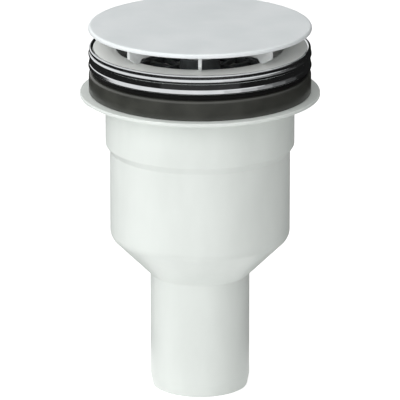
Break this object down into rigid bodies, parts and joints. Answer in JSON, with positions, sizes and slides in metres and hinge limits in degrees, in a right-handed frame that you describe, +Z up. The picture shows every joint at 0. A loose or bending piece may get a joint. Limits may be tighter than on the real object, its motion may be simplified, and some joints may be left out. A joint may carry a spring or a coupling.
{
  "type": "shower waste",
  "caption": "Shower tray waste with a flat round cover on fins, polished flange ring, black seals, lift-out water trap and upright outlet spigot.",
  "frame": {"origin": "centre of the outlet spigot's open end, which is the lowest point", "axes": "+Z up along the axis that all the pieces share, from the outlet to the cover; +X and +Y each lie along two of the cover's fins"},
  "size_m": [0.12, 0.12, 0.188],
  "materials": {
    "cap": "gloss",
    "carrier": "satin",
    "plating": "polished",
    "slip": "satin",
    "seal": "matt",
    "body": "satin",
    "strainer": "satin",
    "trap": "satin"
  },
  "bodies": {
    "waste": {"waste_body": "body", "lower_seal": "seal", "upper_seal": "seal", "slip_ring": "slip", "flange_ring": "plating"},
    "trap": {"dip_tube": "trap", "dip_tube_ring": "seal", "trap_cup": "trap", "strainer": "strainer"},
    "cover": {"cover_cap": "cap", "cover_carrier": "carrier"}
  },
  "joints": [
    {"name": "trap_lift", "type": "slide", "parent": "waste", "child": "trap", "axis": [0, 0, 1], "range_m": [0, 0.105]},
    {"name": "cover_lift", "type": "slide", "parent": "trap", "child": "cover", "axis": [0, 0, 1], "range_m": [0, 0.03]}
  ]
}
